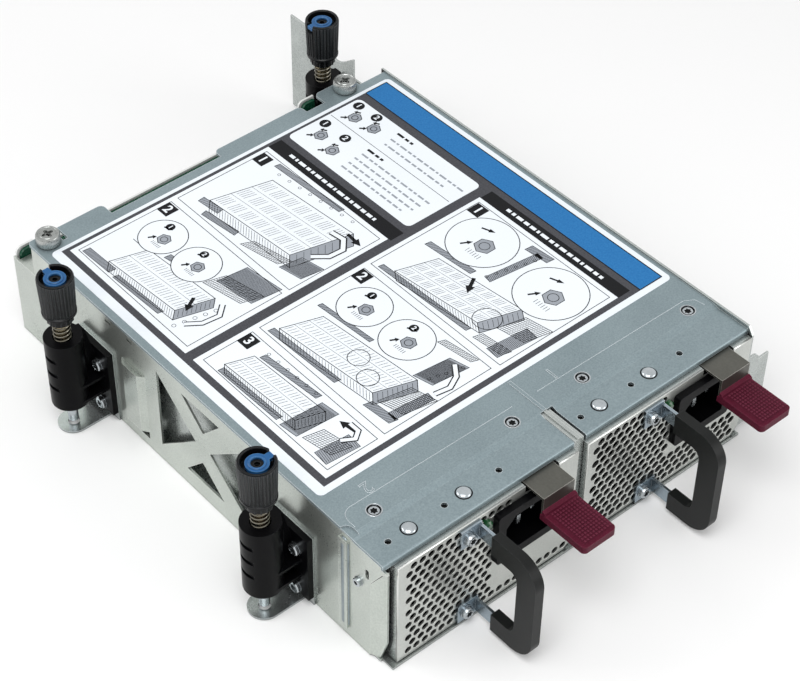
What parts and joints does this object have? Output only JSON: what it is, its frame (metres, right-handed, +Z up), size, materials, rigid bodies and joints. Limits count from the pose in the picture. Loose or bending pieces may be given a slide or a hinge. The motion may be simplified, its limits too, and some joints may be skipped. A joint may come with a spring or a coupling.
{
  "type": "server power supply cage",
  "caption": "Sheet metal cage with a printed cover, slide-out power supplies with hoop handles, and sprung thumbscrews on feet",
  "frame": {"origin": "centre of the footprint, on the surface that the cage stands on", "axes": "+Z up, the handles face -Y, +X to the right seen from the front"},
  "size_m": [0.2302, 0.3286, 0.0838],
  "materials": {
    "galvanised_steel": "galvanised, satin",
    "cream_steel": "cream, satin",
    "bright_steel": "bright zinc",
    "brass": "turned",
    "black_plastic": "fine grain",
    "handle_plastic": "satin",
    "maroon_plastic": "speckled",
    "blue_plastic": "satin",
    "green_board": "lacquered",
    "white_insulator": "matt",
    "led_lens": "clear lens",
    "label_paper": "printed, matt"
  },
  "bodies": {
    "cage": {"left_wall": "cream_steel", "right_wall": "galvanised_steel", "cage_floor": "galvanised_steel", "top_cover": "galvanised_steel", "bay_divider": "galvanised_steel", "rear_bracket": "galvanised_steel", "rear_plate": "white_insulator", "backplane_board": "green_board", "backplane_sockets": "black_plastic", "cover_rivets": "bright_steel", "cover_screws": "bright_steel", "captive_screws": "bright_steel", "cover_label": "label_paper", "wall_screw": "bright_steel", "mount_feet": "galvanised_steel", "mount_screws": "bright_steel", "thumb_1_housing": "black_plastic", "thumb_2_housing": "black_plastic", "thumb_3_housing": "black_plastic", "thumb_1_spring": "bright_steel", "thumb_2_spring": "bright_steel", "thumb_3_spring": "bright_steel"},
    "psu_1": {"psu_1_case": "galvanised_steel", "psu_1_face": "cream_steel", "psu_1_board": "green_board", "psu_1_fan_frame": "black_plastic", "psu_1_handle": "handle_plastic", "psu_1_handle_brackets": "bright_steel", "psu_1_handle_screws": "bright_steel", "psu_1_led": "led_lens", "psu_1_inlet": "black_plastic", "psu_1_inlet_pins": "bright_steel"},
    "psu_1_fan": {"psu_1_rotor": "black_plastic"},
    "psu_1_latch": {"psu_1_latch_plate": "bright_steel", "psu_1_latch_tab": "maroon_plastic"},
    "psu_2": {"psu_2_case": "galvanised_steel", "psu_2_face": "cream_steel", "psu_2_board": "green_board", "psu_2_fan_frame": "black_plastic", "psu_2_handle": "handle_plastic", "psu_2_handle_brackets": "bright_steel", "psu_2_handle_screws": "bright_steel", "psu_2_led": "led_lens", "psu_2_inlet": "black_plastic", "psu_2_inlet_pins": "bright_steel"},
    "psu_2_fan": {"psu_2_rotor": "black_plastic"},
    "psu_2_latch": {"psu_2_latch_plate": "bright_steel", "psu_2_latch_tab": "maroon_plastic"},
    "thumb_1_carrier": {"thumb_1_sleeve": "brass"},
    "thumb_1_turner": {"thumb_1_knob": "black_plastic", "thumb_1_shaft": "bright_steel"},
    "thumb_1_release": {"thumb_1_button": "blue_plastic"},
    "thumb_2_carrier": {"thumb_2_sleeve": "brass"},
    "thumb_2_turner": {"thumb_2_knob": "black_plastic", "thumb_2_shaft": "bright_steel"},
    "thumb_2_release": {"thumb_2_button": "blue_plastic"},
    "thumb_3_carrier": {"thumb_3_sleeve": "brass"},
    "thumb_3_turner": {"thumb_3_knob": "black_plastic", "thumb_3_shaft": "bright_steel"},
    "thumb_3_release": {"thumb_3_button": "blue_plastic"}
  },
  "joints": [
    {"name": "psu_1_slide", "type": "slide", "parent": "cage", "child": "psu_1", "axis": [0, -1, 0], "range_m": [0, 0.215]},
    {"name": "psu_1_fan_spin", "type": "hinge", "parent": "psu_1", "child": "psu_1_fan", "pos_m": [-0.0608, -0.12075, 0.02855], "axis": [0, 1, 0], "continuous": true},
    {"name": "psu_1_latch_press", "type": "hinge", "parent": "psu_1", "child": "psu_1_latch", "pos_m": [-0.0136, -0.09275, 0.0549], "axis": [1, 0, 0], "range_deg": [0, 3], "stiffness_Nm_per_rad": 6, "springref_deg": -1.15},
    {"name": "psu_2_slide", "type": "slide", "parent": "cage", "child": "psu_2", "axis": [0, -1, 0], "range_m": [0, 0.215]},
    {"name": "psu_2_fan_spin", "type": "hinge", "parent": "psu_2", "child": "psu_2_fan", "pos_m": [0.0356, -0.12075, 0.02855], "axis": [0, 1, 0], "continuous": true},
    {"name": "psu_2_latch_press", "type": "hinge", "parent": "psu_2", "child": "psu_2_latch", "pos_m": [0.0828, -0.09275, 0.0549], "axis": [1, 0, 0], "range_deg": [0, 3], "stiffness_Nm_per_rad": 6, "springref_deg": -1.15},
    {"name": "thumb_1_travel", "type": "slide", "parent": "cage", "child": "thumb_1_carrier", "axis": [0, 0, -1], "range_m": [0, 0.006], "stiffness_N_per_m": 400, "springref_m": -0.004, "deforming": ["thumb_1_spring"]},
    {"name": "thumb_1_turn", "type": "hinge", "parent": "thumb_1_carrier", "child": "thumb_1_turner", "pos_m": [-0.1069, -0.07615, 0.0592], "axis": [0, 0, 1], "continuous": true},
    {"name": "thumb_1_press", "type": "slide", "parent": "thumb_1_turner", "child": "thumb_1_release", "axis": [0, 0, -1], "range_m": [0, 0.0012], "stiffness_N_per_m": 400, "springref_m": -0.0008},
    {"name": "thumb_2_travel", "type": "slide", "parent": "cage", "child": "thumb_2_carrier", "axis": [0, 0, -1], "range_m": [0, 0.006], "stiffness_N_per_m": 400, "springref_m": -0.004, "deforming": ["thumb_2_spring"]},
    {"name": "thumb_2_turn", "type": "hinge", "parent": "thumb_2_carrier", "child": "thumb_2_turner", "pos_m": [-0.1069, 0.05475, 0.0592], "axis": [0, 0, 1], "continuous": true},
    {"name": "thumb_2_press", "type": "slide", "parent": "thumb_2_turner", "child": "thumb_2_release", "axis": [0, 0, -1], "range_m": [0, 0.0012], "stiffness_N_per_m": 400, "springref_m": -0.0008},
    {"name": "thumb_3_travel", "type": "slide", "parent": "cage", "child": "thumb_3_carrier", "axis": [0, 0, -1], "range_m": [0, 0.006], "stiffness_N_per_m": 400, "springref_m": -0.004, "deforming": ["thumb_3_spring"]},
    {"name": "thumb_3_turn", "type": "hinge", "parent": "thumb_3_carrier", "child": "thumb_3_turner", "pos_m": [0.0849, 0.12005, 0.0592], "axis": [0, 0, 1], "continuous": true},
    {"name": "thumb_3_press", "type": "slide", "parent": "thumb_3_turner", "child": "thumb_3_release", "axis": [0, 0, -1], "range_m": [0, 0.0012], "stiffness_N_per_m": 400, "springref_m": -0.0008}
  ]
}
